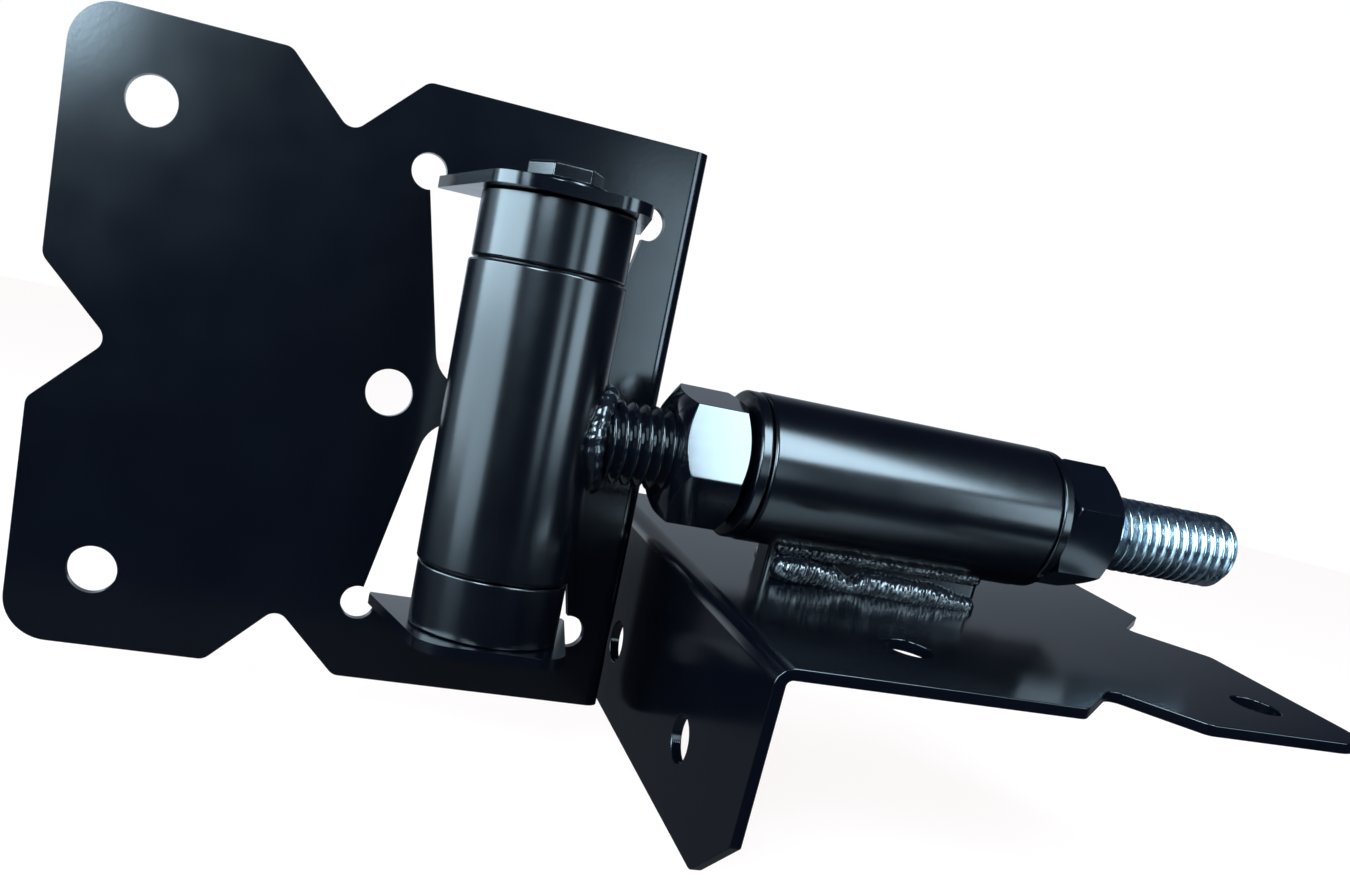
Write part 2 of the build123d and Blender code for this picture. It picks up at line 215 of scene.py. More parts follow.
@dataclass(frozen=True)
class PaintedFinish:
    """A black coat over steel: fine orange peel, uneven gloss and a little dust."""

    name: str
    colour: tuple[float, float, float]
    dust: tuple[float, float, float]
    roughness: tuple[float, float]
    specular: float
    peel_scale: float = 900.0
    peel_depth: float = 0.02 * MM
    peel_strength: float = 0.25
    wave_scale: float = 60.0
    wave_depth: float = 0.2 * MM
    wave_strength: float = 0.06
    cloud_scale: float = 35.0
    cloud_stops: tuple[float, float] = (0.35, 0.75)
    gloss_scale: float = 90.0
    coat: float = 0.0
    coat_roughness: float = 0.1

    def material(self) -> bpy.types.Material:
        """Builds the coat.

        Returns:
            The material.
        """
        bench = NodeBench(self.name)
        bench.set(Metallic=0.0, IOR=1.5, Specular_IOR_Level=self.specular,
                  Coat_Weight=self.coat, Coat_Roughness=self.coat_roughness)
        cloud = bench.noise(self.cloud_scale, 4.0)
        clean_below, dusty_above = self.cloud_stops
        bench.tint(cloud, [(clean_below, (*self.colour, 1)), (dusty_above, (*self.dust, 1))])
        gloss = bench.spread(bench.noise(self.gloss_scale, 5.0), *self.roughness)
        bench.join(gloss, "Result", bench.shader, "Roughness")
        ripples = bench.noise(self.wave_scale, 1.0)
        waves = bench.bump(ripples, self.wave_strength, self.wave_depth)
        bench.bump(bench.noise(self.peel_scale, 2.0), self.peel_strength, self.peel_depth, waves)
        return bench.material


@dataclass(frozen=True)
class ZincFinish:
    """Bright zinc plate on a rolled thread."""

    name: str
    bright: tuple[float, float, float]
    dull: tuple[float, float, float]
    roughness: tuple[float, float]
    streak_scale: float = 420.0
    streak_stretch: tuple[float, float, float] = (0.4, 1, 1)
    streak_stops: tuple[float, float] = (0.3, 0.65)
    gloss_scale: float = 800.0
    grain_scale: float = 1500.0
    grain_depth: float = 0.02 * MM
    grain_strength: float = 0.15

    def material(self) -> bpy.types.Material:
        """Builds the plating.

        Returns:
            The material.
        """
        bench = NodeBench(self.name)
        bench.set(Metallic=1.0, IOR=1.5)
        streaks = bench.noise(self.streak_scale, 4.0, self.streak_stretch)
        dull_below, bright_above = self.streak_stops
        bench.tint(streaks, [(dull_below, (*self.dull, 1)), (bright_above, (*self.bright, 1))])
        gloss = bench.spread(bench.noise(self.gloss_scale, 3.0), *self.roughness)
        bench.join(gloss, "Result", bench.shader, "Roughness")
        bench.bump(bench.noise(self.grain_scale, 2.0), self.grain_strength, self.grain_depth)
        return bench.material


SATIN_COAT = PaintedFinish(
    name="satin_powder_coat",
    colour=(0.0005, 0.0008, 0.0022), dust=(0.0010, 0.0014, 0.0031),
    roughness=(0.15, 0.18), specular=0.8,
)
TUBE_COAT = PaintedFinish(
    name="tube_powder_coat",
    colour=(0.0005, 0.0007, 0.0018), dust=(0.0009, 0.0012, 0.0026),
    roughness=(0.18, 0.22), specular=0.8, peel_strength=0.18,
)
HARDWARE_PAINT = PaintedFinish(
    name="glossy_hardware_paint",
    colour=(0.0010, 0.0014, 0.003), dust=(0.0018, 0.0024, 0.0045),
    roughness=(0.11, 0.15), specular=0.9, peel_strength=0.08,
    wave_scale=140.0, wave_strength=0.08, coat=0.6,
)
WELD_PAINT = PaintedFinish(
    name="glossy_paint_over_weld",
    colour=(0.0016, 0.002, 0.004), dust=(0.006, 0.007, 0.010),
    roughness=(0.14, 0.24), specular=0.7, peel_scale=1400.0, peel_strength=0.5,
    peel_depth=0.06 * MM, wave_scale=500.0, wave_strength=0.4, coat=0.6,
)
THREAD_PAINT = PaintedFinish(
    name="glossy_paint_on_thread",
    colour=(0.0012, 0.0016, 0.003), dust=(0.003, 0.0035, 0.006),
    roughness=(0.12, 0.20), specular=0.6, peel_scale=1200.0, peel_strength=0.3,
    wave_scale=300.0, wave_strength=0.2, coat=0.5,
)
BUSH_NYLON = PaintedFinish(
    name="black_nylon",
    colour=(0.003, 0.0035, 0.005), dust=(0.005, 0.0055, 0.007),
    roughness=(0.25, 0.34), specular=0.45, peel_strength=0.1,
)
ZINC = ZincFinish(
    name="bright_zinc",
    bright=(0.70, 0.80, 0.86), dull=(0.46, 0.56, 0.64), roughness=(0.14, 0.26),
)


class Finishes:
    """Makes each finish once and hands it out."""

    def __init__(self) -> None:
        """Starts with nothing made."""
        self.made: dict[str, bpy.types.Material] = {}

    def get(self, finish: PaintedFinish | ZincFinish) -> bpy.types.Material:
        """Gives a finish's material, building it on first use.

        Args:
            finish: the finish.

        Returns:
            The material.
        """
        if finish.name not in self.made:
            self.made[finish.name] = finish.material()
        return self.made[finish.name]

    def dress(self, node: str, finish: PaintedFinish | ZincFinish) -> None:
        """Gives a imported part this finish.

        Args:
            node: the part's name.
            finish: the finish.
        """
        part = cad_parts[node]
        part.data.materials.clear()
        part.data.materials.append(self.get(finish))
        for slot in part.material_slots:
            slot.material = self.get(finish)
        log.info("dressed %s in %s", node, finish.name)


def new_piece(name: str, bm: bmesh.types.BMesh, materials: list[bpy.types.Material],
              smooth_deg: float = 35.0) -> bpy.types.Object:
    """Turns a finished bmesh into an object at the origin.

    Args:
        name: the piece's name.
        bm: its mesh, which is freed.
        materials: its materials in slot order.
        smooth_deg: edges sharper than this stay crisp.

    Returns:
        The object.
    """
    limit = math.radians(smooth_deg)
    for face in bm.faces:
        face.smooth = True
    for edge in bm.edges:
        edge.smooth = len(edge.link_faces) == 2 and edge.calc_face_angle(0.0) < limit
    mesh = bpy.data.meshes.new(name)
    bm.to_mesh(mesh)
    bm.free()
    for material in materials:
        mesh.materials.append(material)
    piece = bpy.data.objects.new(name, mesh)
    bpy.context.scene.collection.objects.link(piece)
    log.info("built %s with %d faces", name, len(mesh.polygons))
    return piece


def settle(piece: bpy.types.Object, body: Body, slot: Slot, *nodes: str) -> None:
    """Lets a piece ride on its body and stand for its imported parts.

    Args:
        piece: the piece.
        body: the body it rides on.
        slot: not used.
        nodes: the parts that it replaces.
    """
    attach(piece, body.value)
    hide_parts(*nodes)


def smooth_step(value: float) -> float:
    """Eases a value from 0 to 1 with level ends.

    Args:
        value: the value, which is held within 0 and 1.

    Returns:
        The eased value.
    """
    value = min(max(value, 0.0), 1.0)
    return value * value * (3 - 2 * value)


@dataclass
class EasedPart:
    """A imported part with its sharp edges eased, as paint and tumbling leave them."""

    node: str
    body: Body
    slot: Slot
    finish: PaintedFinish
    ease: float = 0.35 * MM
    segments: int = 3
    sharper_than_deg: float = 40.0
    flat_deg: float = 0.5
    join_within: float = 0.001 * MM

    def build(self, finishes: Finishes) -> bpy.types.Object:
        """Copies the part's mesh, joins its faces and bevels its sharp edges.

        Args:
            finishes: the finishes made so far.

        Returns:
            The piece.
        """
        bm = bmesh.new()
        bm.from_mesh(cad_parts[self.node].data)
        bmesh.ops.remove_doubles(bm, verts=bm.verts, dist=self.join_within)
        bmesh.ops.dissolve_limit(
            bm, angle_limit=math.radians(self.flat_deg), verts=bm.verts, edges=bm.edges,
            delimit=set(),
        )
        limit = math.radians(self.sharper_than_deg)
        sharp = [e for e in bm.edges if len(e.link_faces) == 2 and e.calc_face_angle(0.0) > limit]
        bmesh.ops.bevel(
            bm, geom=sharp, offset=self.ease, offset_type="OFFSET", affect="EDGES",
            segments=self.segments, profile=0.5, material=-1, clamp_overlap=True,
        )
        bmesh.ops.triangulate(bm, faces=[f for f in bm.faces if len(f.verts) > 4])
        piece = new_piece(f"{self.node}_eased", bm, [finishes.get(self.finish)])
        flats = piece.modifiers.new("level_flats", "WEIGHTED_NORMAL")
        flats.mode = "FACE_AREA"
        flats.keep_sharp = True
        settle(piece, self.body, self.slot, self.node)
        return piece


@dataclass
class StudThread:
    """The threaded stud: black paint near the barrel, bright zinc beyond the sleeve's middle."""

    pitch: float = 2.58 * MM
    crest_flat: float = 0.16
    depth_ratio: float = 0.60
    flank_curve: tuple[tuple[float, float], ...] = (
        (0.0, 0.0), (0.08, 0.04), (0.5, 0.5), (0.94, 0.97), (1.0, 1.0),
    )
    tip_chamfer: float = 1.6 * MM
    chamfer_drop: float = 0.1 * MM
    paint_into_sleeve: float = 20.0 * MM
    steps: int = 44
    spare_turns: int = 2
    join_within: float = 0.004 * MM
    cut_within: float = 0.0005 * MM
    node: str = "threaded_stud"

    def build(self, finishes: Finishes) -> bpy.types.Object:
        """Winds the thread about the stud's axis and closes both ends.

        Args:
            finishes: the finishes made so far.

        Returns:
            The piece.
        """
        low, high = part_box(self.node)
        crest = (high.z - low.z) / 2
        axis = Vector((0, (low.y + high.y) / 2, (low.z + high.z) / 2))
        start, tip = low.x, high.x
        depth = self.pitch * self.depth_ratio
        root = crest - depth
        flank = self.pitch * (1 - self.crest_flat) / 2
        flat = self.pitch * self.crest_flat
        profile = [(part, root + rise * depth) for part, rise in self.flank_curve]
        bm = bmesh.new()
        begin = start - self.spare_turns * self.pitch
        points = [(begin + flank * t, r) for t, r in profile]
        points += [(begin + flank + flat + flank * (1 - t), r) for t, r in reversed(profile)]
        verts = [bm.verts.new((x, axis.y, axis.z + r)) for x, r in points]
        edges = [bm.edges.new(pair) for pair in zip(verts, verts[1:])]
        bmesh.ops.spin(
            bm, geom=verts + edges, cent=axis, axis=(1, 0, 0), dvec=(self.pitch / self.steps, 0, 0),
            angle=math.tau, steps=self.steps, use_merge=False, use_duplicate=False,
        )
        turns, needed = 1, math.ceil((tip - begin) / self.pitch) + self.spare_turns
        while turns < needed:
            copied = bmesh.ops.duplicate(bm, geom=bm.verts[:] + bm.edges[:] + bm.faces[:])
            fresh = [v for v in copied["geom"] if isinstance(v, bmesh.types.BMVert)]
            bmesh.ops.translate(bm, verts=fresh, vec=(turns * self.pitch, 0, 0))
            turns *= 2
        bmesh.ops.remove_doubles(bm, verts=bm.verts, dist=self.join_within)
        for place, side in ((start, -1), (tip, 1)):
            cut = bmesh.ops.bisect_plane(
                bm, geom=bm.verts[:] + bm.edges[:] + bm.faces[:], dist=self.cut_within,
                plane_co=(place, 0, 0), plane_no=(side, 0, 0), clear_outer=True,
            )
            rim = [e for e in cut["geom_cut"] if isinstance(e, bmesh.types.BMEdge)]
            bmesh.ops.holes_fill(bm, edges=rim, sides=0)
        for vert in bm.verts:
            into_chamfer = vert.co.x - (tip - self.tip_chamfer)
            slope = crest - max(0.0, into_chamfer) - self.chamfer_drop
            arm = vert.co - Vector((vert.co.x, axis.y, axis.z))
            if into_chamfer > 0 and arm.length > slope:
                vert.co -= arm.normalized() * (arm.length - slope)
        bmesh.ops.recalc_face_normals(bm, faces=bm.faces)
        paint_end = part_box("adjuster_sleeve")[0].x + self.paint_into_sleeve
        for face in bm.faces:
            face.material_index = 0 if face.calc_center_median().x < paint_end else 1
        materials = [finishes.get(THREAD_PAINT), finishes.get(ZINC)]
        piece = new_piece("stud_thread", bm, materials, 50.0)
        settle(piece, Body.STUD, Slot.ZINC, self.node)
        return piece


@dataclass
class StudSeam:
    """The lumpy weld ring where the stud meets the barrel's round side."""

    bead_r: float = 2.2 * MM
    out_from_stud: float = 0.5 * MM
    out_from_barrel: float = 0.5 * MM
    ripples: int = 21
    ripple_height: float = 0.16 * MM
    ripple_slant: float = 1.1
    lump_height: float = 0.45 * MM
    lumps_per_metre: float = 160.0
    lump_seed: tuple[float, float, float] = (3, 1, 7)
    widest_on_barrel: float = 0.98
    section_parts: int = 28
    ring_parts: int = 220
    join_within: float = 0.002 * MM
    node: str = "stud_weld"

    def build(self, finishes: Finishes) -> bpy.types.Object:
        """Spins a round bead about the stud and bends it to the barrel.

        Args:
            finishes: the finishes made so far.

        Returns:
            The piece.
        """
        barrel_low, barrel_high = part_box("pivot_barrel")
        stud_low, stud_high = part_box("threaded_stud")
        barrel_r = (barrel_high.x - barrel_low.x) / 2
        barrel_x = (barrel_high.x + barrel_low.x) / 2
        stud_r = (stud_high.z - stud_low.z) / 2
        axis = Vector((0, (stud_low.y + stud_high.y) / 2, (stud_low.z + stud_high.z) / 2))
        ring_r = stud_r + self.out_from_stud
        bm = bmesh.new()
        bmesh.ops.create_circle(
            bm, segments=self.section_parts, radius=self.bead_r, cap_ends=False,
        )
        upright = Matrix.Rotation(math.pi / 2, 3, "X")
        bmesh.ops.rotate(bm, verts=bm.verts, cent=(0, 0, 0), matrix=upright)
        bmesh.ops.translate(bm, verts=bm.verts, vec=axis + Vector((0, 0, ring_r)))
        bmesh.ops.spin(
            bm, geom=bm.verts[:] + bm.edges[:], cent=axis, axis=(1, 0, 0), dvec=(0, 0, 0),
            angle=math.tau, steps=self.ring_parts, use_merge=True, use_duplicate=False,
        )
        bmesh.ops.remove_doubles(bm, verts=bm.verts, dist=self.join_within)
        for vert in bm.verts:
            arm = Vector((0, vert.co.y - axis.y, vert.co.z - axis.z))
            heart = axis + arm.normalized() * ring_r
            outward = vert.co - heart
            turn = math.atan2(arm.z, arm.y)
            wave = math.sin(self.ripples * turn + self.ripple_slant * outward.x / self.bead_r)
            lump = noise.noise(vert.co * self.lumps_per_metre + Vector(self.lump_seed))
            vert.co += outward.normalized() * (self.ripple_height * wave + self.lump_height * lump)
            aside = min(abs(heart.y - axis.y), barrel_r * self.widest_on_barrel)
            cope = math.sqrt(barrel_r ** 2 - aside ** 2)
            vert.co.x += barrel_x + cope + self.out_from_barrel
        bmesh.ops.recalc_face_normals(bm, faces=bm.faces)
        piece = new_piece("stud_weld_ring", bm, [finishes.get(WELD_PAINT)], 60.0)
        settle(piece, Body.STUD, Slot.WELD, self.node)
        return piece


@dataclass(frozen=True)
class BeadStation:
    """The bead's section at one place along the saddle."""

    along: float
    radius: float
    out: float
    up: float


@dataclass
class WeldBead:
    """A weld bead along the saddle, laid in lobes and covered with fine ripples."""

    node: str
    side: Side
    root_out: float
    root_up: float
    stations: tuple[BeadStation, ...]
    seed: float
    finish: PaintedFinish = WELD_PAINT
    ripple: float = 1.15 * MM
    ripple_height: float = 0.13 * MM
    ripple_slant: float = 0.9 * MM
    grain_height: float = 0.22 * MM
    specks_per_metre: float = 900.0
    specks_round: float = 3.2
    lumps_per_metre: float = 220.0
    lumps_round: float = 0.8
    swivel_deg: float = 5.2
    sunk: float = 0.3 * MM
    step: float = 0.17 * MM
    round_parts: int = 40

    def at(self, along: float) -> BeadStation:
        """Gives the section between the stations on both sides of a place.

        Args:
            along: the place, from the bead's near end.

        Returns:
            The section there.
        """
        last = self.stations[-1]
        for here, there in zip(self.stations, self.stations[1:]):
            if along <= there.along:
                part = smooth_step((along - here.along) / (there.along - here.along))
                mix = [a + (b - a) * part for a, b in (
                    (here.radius, there.radius), (here.out, there.out), (here.up, there.up))]
                return BeadStation(along, *mix)
        return last

    def grain(self, along: float, around: Vector) -> float:
        """Gives this bead's unevenness at a place on its surface.

        Args:
            along: the scaled place along the bead.
            around: the scaled direction from its heart, across it.

        Returns:
            A value within about -1 and 1.
        """
        return noise.noise(Vector((along, around.y, around.z + self.seed)))

    def build(self, finishes: Finishes) -> bpy.types.Object:
        """Draws a round rod along the saddle and swells it into the bead.

        Args:
            finishes: the finishes made so far.

        Returns:
            The piece.
        """
        low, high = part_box(self.node)
        sleeve_low, sleeve_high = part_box("adjuster_sleeve")
        axis = Vector((0, (sleeve_low.y + sleeve_high.y) / 2, (sleeve_low.z + sleeve_high.z) / 2))
        swivel = Matrix.Rotation(math.radians(self.swivel_deg), 3, "X")
        length = high.x - low.x
        steps = int(length / self.step)
        bm = bmesh.new()
        bmesh.ops.create_cone(
            bm, cap_ends=True, segments=self.round_parts, radius1=1.0, radius2=1.0, depth=length,
        )
        lying = Matrix.Rotation(math.pi / 2, 3, "Y")
        bmesh.ops.rotate(bm, verts=bm.verts, cent=(0, 0, 0), matrix=lying)
        bmesh.ops.translate(bm, verts=bm.verts, vec=(length / 2, 0, 0))
        ribs = [e for e in bm.edges if abs(e.verts[0].co.x - e.verts[1].co.x) > length / 2]
        bmesh.ops.subdivide_edges(bm, edges=ribs, cuts=steps - 1, use_grid_fill=True)
        for vert in bm.verts:
            along = vert.co.x
            section = self.at(along)
            end = min(along, length - along) / section.radius
            taper = math.sqrt(max(0.0, 1 - (1 - min(end, 1.0)) ** 2))
            unit = Vector((0, vert.co.y, vert.co.z)).normalized()
            phase = (along - self.ripple_slant * unit.z) / self.ripple
            crest = abs(math.sin(math.pi * phase))
            speck = self.grain(along * self.specks_per_metre, unit * self.specks_round)
            lump = self.grain(along * self.lumps_per_metre, unit * self.lumps_round)
            reach = section.radius + self.ripple_height * crest + self.grain_height * (speck + lump)
            out = self.root_out + section.out + unit.y * reach * taper
            up = self.root_up + section.up + unit.z * reach * taper
            out = max(out, self.root_out - self.sunk)
            up = max(up, self.root_up - self.sunk)
            vert.co = axis + swivel @ Vector((low.x + along, self.side.value * out, up))
        bmesh.ops.recalc_face_normals(bm, faces=bm.faces)
        piece = new_piece(f"{self.node}_ripples", bm, [finishes.get(self.finish)], 75.0)
        settle(piece, Body.GATE, Slot.WELD, self.node)
        return piece


# The leaf bead is thick at its near end, thins at a waist and swells again before it runs out.
LEAF_BEAD_LOBES = (
    BeadStation(0.0, 3.0 * MM, 0.2 * MM, 2.6 * MM),
    BeadStation(5.0 * MM, 3.3 * MM, 0.2 * MM, 2.6 * MM),
    BeadStation(13.0 * MM, 3.0 * MM, 0.2 * MM, 2.1 * MM),
    BeadStation(19.5 * MM, 2.0 * MM, 0.9 * MM, 0.8 * MM),
    BeadStation(23.0 * MM, 3.1 * MM, 0.2 * MM, 1.8 * MM),
    BeadStation(37.0 * MM, 3.3 * MM, 0.2 * MM, 1.3 * MM),
    BeadStation(51.0 * MM, 2.4 * MM, 0.4 * MM, 0.3 * MM),
)
# The sleeve bead is thinner and nearly even.
SLEEVE_BEAD_LOBES = (
    BeadStation(0.0, 1.6 * MM, 0.0, 0.0),
    BeadStation(16.0 * MM, 1.9 * MM, 0.0, 0.0),
    BeadStation(30.0 * MM, 1.6 * MM, 0.0, 0.0),
    BeadStation(51.0 * MM, 1.8 * MM, 0.0, 0.0),
)


@dataclass(frozen=True)
class Softbox:
    """A soft rectangular lamp that faces the hinge."""

    name: str
    place: tuple[float, float, float]
    size: tuple[float, float]
    radiance: float
    colour: tuple[float, float, float] = (0.61, 0.84, 1.0)
    aim: tuple[float, float, float] = (0.04, -0.02, 0.0)

    def hang(self) -> None:
        """Hangs the lamp."""
        data = bpy.data.lights.new(self.name, "AREA")
        data.shape = "RECTANGLE"
        data.size, data.size_y = self.size
        data.color = self.colour
        data.energy = self.radiance * math.pi * self.size[0] * self.size[1]
        lamp = bpy.data.objects.new(self.name, data)
        toward = Vector(self.aim) - Vector(self.place)
        turn = toward.to_track_quat("-Z", "Y").to_matrix().to_4x4()
        lamp.matrix_world = Matrix.Translation(Vector(self.place)) @ turn
        lamp.visible_camera = False
        bpy.context.scene.collection.objects.link(lamp)


@dataclass(frozen=True)
class Fade:
    """A soft change from one level to another between two values."""

    start: float
    end: float
    low: float
    high: float

    def add(self, tree: bpy.types.NodeTree, source: bpy.types.NodeSocket) -> bpy.types.Node:
        """Adds the fade to a node tree.

        Args:
            tree: the node tree to add to.
            source: the value that it follows.

        Returns:
            The Map Range node.
        """
        node = tree.nodes.new("ShaderNodeMapRange")
        node.interpolation_type = "SMOOTHSTEP"
        node.inputs["From Min"].default_value = self.start
        node.inputs["From Max"].default_value = self.end
        node.inputs["To Min"].default_value = self.low
        node.inputs["To Max"].default_value = self.high
        tree.links.new(source, node.inputs["Value"])
        return node


class LightPath:
    """Gives seen, mirrored and all other rays a shader each."""

    def __init__(self, tree: bpy.types.NodeTree) -> None:
        """Starts with a Light Path node.

        Args:
            tree: the node tree to add to.
        """
        self.tree = tree
        self.path = tree.nodes.new("ShaderNodeLightPath")

    def mirrored(self) -> bpy.types.NodeSocket:
        """Tells whether a ray comes from a mirror or from glass.

        Returns:
            A socket that is 1 for such rays.
        """
        either = self.tree.nodes.new("ShaderNodeMath")
        either.operation = "MAXIMUM"
        self.tree.links.new(self.path.outputs["Is Glossy Ray"], either.inputs[0])
        self.tree.links.new(self.path.outputs["Is Transmission Ray"], either.inputs[1])
        return either.outputs[0]

    def choose(self, chosen: bpy.types.NodeSocket, otherwise: bpy.types.Node,
               then: bpy.types.Node) -> bpy.types.Node:
        """Mixes two shaders.

        Args:
            chosen: a socket that is 1 for the second shader.
            otherwise: the first shader.
            then: the second shader.

        Returns:
            The Mix Shader node.
        """
        mix = self.tree.nodes.new("ShaderNodeMixShader")
        self.tree.links.new(chosen, mix.inputs[0])
        self.tree.links.new(otherwise.outputs[0], mix.inputs[1])
        self.tree.links.new(then.outputs[0], mix.inputs[2])
        return mix

    def finish(self, out: bpy.types.Node, seen: bpy.types.Node, mirrored: bpy.types.Node,
               other: bpy.types.Node) -> None:
        """Joins the three shaders to the output.

        Args:
            out: the output node.
            seen: the shader that the camera sees.
            mirrored: the shader that metal and glass show.
            other: the shader that all other rays meet.
        """
        inner = self.choose(self.mirrored(), other, mirrored)
        outer = self.choose(self.path.outputs["Is Camera Ray"], inner, seen)
        self.tree.links.new(outer.outputs[0], out.inputs["Surface"])


@dataclass
class Studio:
    """The pale floor, the white surroundings, the lamps and the camera."""

    eye: tuple[float, float, float] = (-21.9 * MM, -271.14 * MM, 16.15 * MM)
    right: tuple[float, float, float] = (0.9492, -0.245395, 0.19698)
    up: tuple[float, float, float] = (-0.143921, 0.218117, 0.965252)
    sensor_width: float = 36.0
    focal_px: float = 1232.0
    centre_px: tuple[float, float] = (615.9, 579.7)
    photo_px: tuple[float, float] = (1350.0, 880.0)
    floor_drop: float = 0.5 * MM
    floor_front: float = -0.10
    floor_size: float = 3.0
    floor_glow: tuple[float, float, float] = (0.93, 0.90, 0.89)
    floor_lit: tuple[float, float, float] = (0.14, 0.13, 0.13)
    floor_bounce: tuple[float, float, float] = (0.8, 0.8, 0.8)
    # Painted shadow: the floor's glow in mirrors dims close to the hinge.
    floor_mirrored_painted_shadow: Fade = Fade(0.25, 1.1, 0.09, 1.0)
    seen_backdrop: tuple[float, float, float] = (1, 1, 1)
    mirrored_pale: tuple[float, float, float] = (0.66, 0.76, 0.88)
    mirrored_dim: tuple[float, float, float] = (0.012, 0.018, 0.034)
    room: tuple[float, float, float] = (0.30, 0.38, 0.46)
    backdrop_behind: Fade = Fade(0.55, 1.0, 0.0, 1.0)
    backdrop_height: Fade = Fade(0.05, 0.30, 1.0, 0.4)
    softboxes: tuple[Softbox, ...] = (
        Softbox("main_softbox", (0.335, -0.49, 0.50), (0.23, 0.50), 15.0),
        Softbox("left_softbox", (-0.60, -0.11, 0.10), (0.86, 0.46), 4.3),
        Softbox("high_left_softbox", (-0.58, -0.11, 0.19), (0.70, 0.30), 6.5),
        Softbox("right_softbox", (0.485, -0.41, 0.07), (0.21, 0.22), 5.5),
        Softbox("strip_softbox", (0.215, -0.50, 0.05), (0.09, 0.18), 3.0),
        Softbox("upper_left_softbox", (-0.255, -0.58, 0.315), (0.24, 0.36), 22.0),
    )

    def camera(self) -> None:
        """Sets the camera where the photograph was taken."""
        data = bpy.data.cameras.new("camera")
        data.sensor_width = self.sensor_width
        data.lens = self.focal_px / self.photo_px[0] * self.sensor_width
        data.shift_x = (self.photo_px[0] / 2 - self.centre_px[0]) / self.photo_px[0]
        data.shift_y = (self.centre_px[1] - self.photo_px[1] / 2) / self.photo_px[0]
        data.clip_start, data.clip_end = 0.01, 20.0
        data.dof.use_dof = False
        eye = bpy.data.objects.new("camera", data)
        right, up = Vector(self.right).normalized(), Vector(self.up)
        back = right.cross(up).normalized()
        up = back.cross(right)
        turn = Matrix((right, up, back)).transposed().to_4x4()
        eye.matrix_world = Matrix.Translation(Vector(self.eye)) @ turn
        bpy.context.scene.collection.objects.link(eye)
        bpy.context.scene.camera = eye

    def floor(self) -> None:
        """Lays the pale floor under the hinge, which runs back into the backdrop."""
        bm = bmesh.new()
        bmesh.ops.create_grid(bm, x_segments=1, y_segments=1, size=self.floor_size / 2)
        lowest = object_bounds()[0].z - self.floor_drop
        middle = (0, self.floor_front + self.floor_size / 2, lowest)
        bmesh.ops.translate(bm, verts=bm.verts, vec=middle)
        mesh = bpy.data.meshes.new("floor")
        bm.to_mesh(mesh)
        bm.free()
        mesh.materials.append(self.floor_material())
        floor = bpy.data.objects.new("floor", mesh)
        bpy.context.scene.collection.objects.link(floor)
        floor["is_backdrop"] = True

    def floor_material(self) -> bpy.types.Material:
        """Makes the floor: white to the eye, with a soft shadow, and a painted shadow near the hinge
        in mirrors.

        Returns:
            The material.
        """
        material = bpy.data.materials.new("pale_floor")
        material.use_nodes = True
        tree = material.node_tree
        tree.nodes.clear()
        out = tree.nodes.new("ShaderNodeOutputMaterial")
        glow = tree.nodes.new("ShaderNodeEmission")
        glow.inputs["Color"].default_value = (*self.floor_glow, 1)
        lit = tree.nodes.new("ShaderNodeBsdfDiffuse")
        lit.inputs["Color"].default_value = (*self.floor_lit, 1)
        seen = tree.nodes.new("ShaderNodeAddShader")
        tree.links.new(glow.outputs[0], seen.inputs[0])
        tree.links.new(lit.outputs[0], seen.inputs[1])
        mirrored = tree.nodes.new("ShaderNodeEmission")
        mirrored.inputs["Color"].default_value = (*self.mirrored_pale, 1)
        # Painted shadow: the floor's glow in mirrors is dimmed by the distance from the hinge's
        # origin.
        place = tree.nodes.new("ShaderNodeTexCoord")
        reach = tree.nodes.new("ShaderNodeVectorMath")
        reach.operation = "LENGTH"
        tree.links.new(place.outputs["Object"], reach.inputs[0])
        level = self.floor_mirrored_painted_shadow.add(tree, reach.outputs["Value"])
        tree.links.new(level.outputs[0], mirrored.inputs["Strength"])
        bounce = tree.nodes.new("ShaderNodeBsdfDiffuse")
        bounce.inputs["Color"].default_value = (*self.floor_bounce, 1)
        LightPath(tree).finish(out, seen, mirrored, bounce)
        return material

    def surround(self) -> None:
        """Makes the white backdrop that is seen and mirrored, and the dim room round it."""
        world = bpy.data.worlds.new("surroundings")
        bpy.context.scene.world = world
        world.use_nodes = True
        tree = world.node_tree
        tree.nodes.clear()
        out = tree.nodes.new("ShaderNodeOutputWorld")
        place = tree.nodes.new("ShaderNodeTexCoord")
        axes = tree.nodes.new("ShaderNodeSeparateXYZ")
        tree.links.new(place.outputs["Generated"], axes.inputs[0])
        behind = self.backdrop_behind.add(tree, axes.outputs["Y"])
        height = self.backdrop_height.add(tree, axes.outputs["Z"])
        both = tree.nodes.new("ShaderNodeMath")
        both.operation = "MULTIPLY"
        tree.links.new(behind.outputs[0], both.inputs[0])
        tree.links.new(height.outputs[0], both.inputs[1])
        tone = tree.nodes.new("ShaderNodeMix")
        tone.data_type = "RGBA"
        tone.inputs["A"].default_value = (*self.mirrored_dim, 1)
        tone.inputs["B"].default_value = (*self.mirrored_pale, 1)
        tree.links.new(both.outputs[0], tone.inputs["Factor"])
        seen, mirrored, other = (tree.nodes.new("ShaderNodeBackground") for _ in range(3))
        seen.inputs["Color"].default_value = (*self.seen_backdrop, 1)
        other.inputs["Color"].default_value = (*self.room, 1)
        tree.links.new(tone.outputs["Result"], mirrored.inputs["Color"])
        LightPath(tree).finish(out, seen, mirrored, other)

    def build(self) -> None:
        """Sets the whole studio."""
        bpy.context.scene.view_settings.view_transform = "Standard"
        self.camera()
        self.floor()
        self.surround()
        for softbox in self.softboxes:
            softbox.hang()
        log.info("set the studio with %d softboxes", len(self.softboxes))


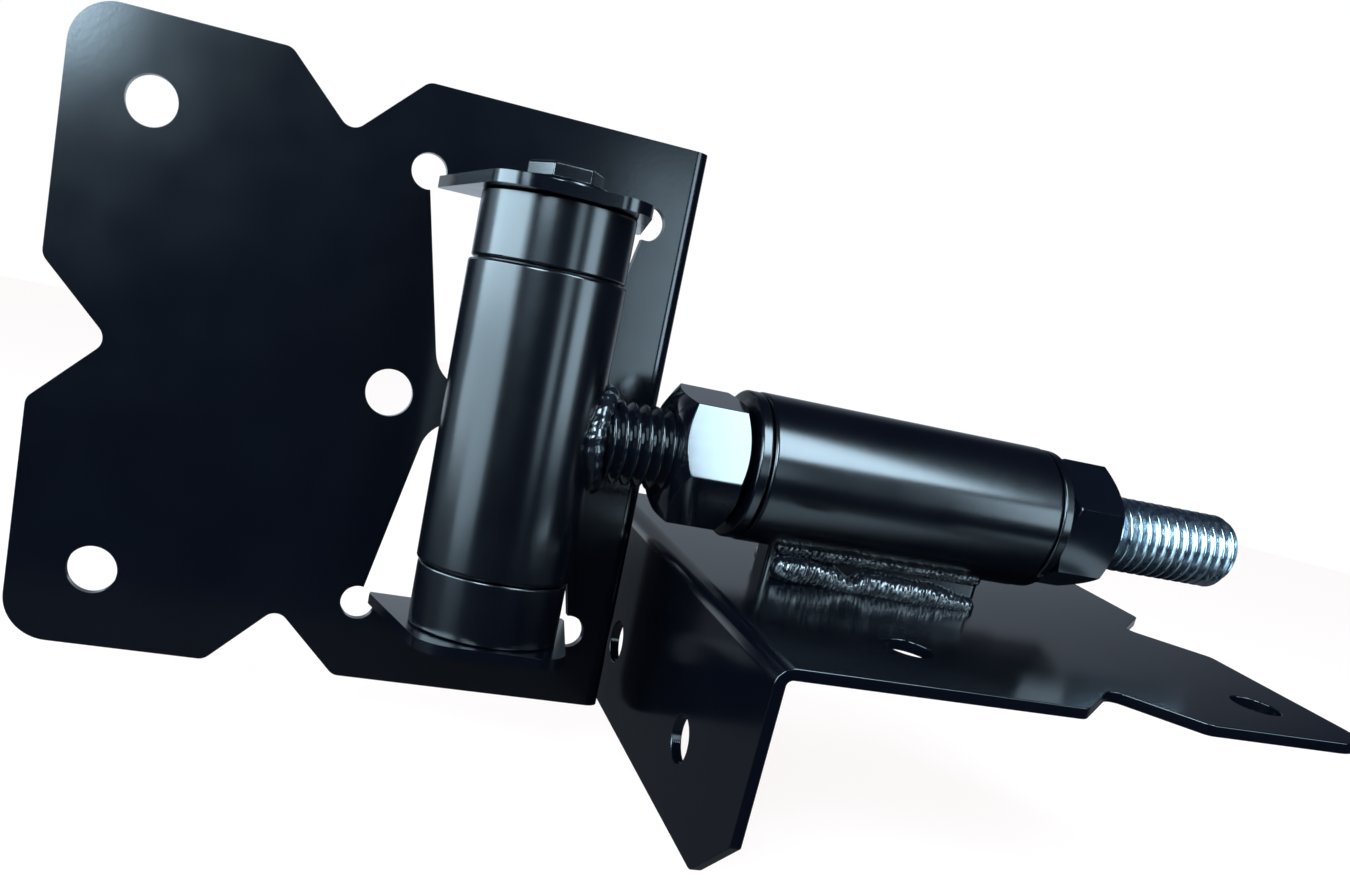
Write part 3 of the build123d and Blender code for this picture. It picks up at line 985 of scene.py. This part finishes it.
@dataclass
class Hinge:
    """The hinge's sub-assemblies, in the order in which they are dressed."""

    saddle_half_width: float = 4.5 * MM
    leaf_below_axis: float = 22.3 * MM
    sleeve_bead_sunk: float = 1.5 * MM
    pin_ease: float = 0.3 * MM
    nut_ease: float = 0.4 * MM
    finishes: Finishes = field(default_factory=Finishes)

    def pivot(self) -> None:
        """Dresses the barrel with its collars and bushes, and the pin."""
        for node in ("pivot_barrel", "upper_collar", "lower_collar"):
            self.finishes.dress(node, TUBE_COAT)
        for node in ("upper_bush", "lower_bush"):
            self.finishes.dress(node, BUSH_NYLON)
        pin = EasedPart("pivot_pin", Body.POST, Slot.COAT, TUBE_COAT, self.pin_ease)
        pin.build(self.finishes)

    def leaves(self) -> None:
        """Eases both leaves' cut edges."""
        EasedPart("post_leaf", Body.POST, Slot.COAT, SATIN_COAT).build(self.finishes)
        EasedPart("gate_leaf", Body.GATE, Slot.COAT, SATIN_COAT).build(self.finishes)

    def adjuster(self) -> None:
        """Builds the stud with its weld, the nuts, and dresses the sleeve with its bushes."""
        StudThread().build(self.finishes)
        StudSeam().build(self.finishes)
        for node, body in (("inner_nut", Body.INNER_NUT), ("outer_nut", Body.OUTER_NUT)):
            nut = EasedPart(node, body, Slot.GLOSS, HARDWARE_PAINT, self.nut_ease)
            nut.build(self.finishes)
        for node in ("adjuster_sleeve", "inner_sleeve_bush", "outer_sleeve_bush"):
            self.finishes.dress(node, TUBE_COAT)

    def saddle(self) -> None:
        """Dresses the saddle and lays the four beads along it, two to a side."""
        self.finishes.dress("sleeve_saddle", SATIN_COAT)
        low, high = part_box("adjuster_sleeve")
        contact = math.sqrt(((high.z - low.z) / 2) ** 2 - self.saddle_half_width ** 2)
        for side, word, seed in ((Side.FRONT, "front", 2.0), (Side.REAR, "rear", 11.0)):
            WeldBead(
                f"{word}_leaf_bead", side, self.saddle_half_width, -self.leaf_below_axis,
                LEAF_BEAD_LOBES, seed,
            ).build(self.finishes)
            WeldBead(
                f"{word}_sleeve_bead", side, self.saddle_half_width, -contact,
                SLEEVE_BEAD_LOBES, seed + 4, SATIN_COAT, sunk=self.sleeve_bead_sunk,
            ).build(self.finishes)

    def build(self) -> None:
        """Builds and dresses every piece."""
        self.pivot()
        self.leaves()
        self.adjuster()
        self.saddle()


def main() -> None:
    """Builds the hinge and its studio."""
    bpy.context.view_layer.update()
    Hinge().build()
    Studio().build()


if __name__ == "__main__":
    main()
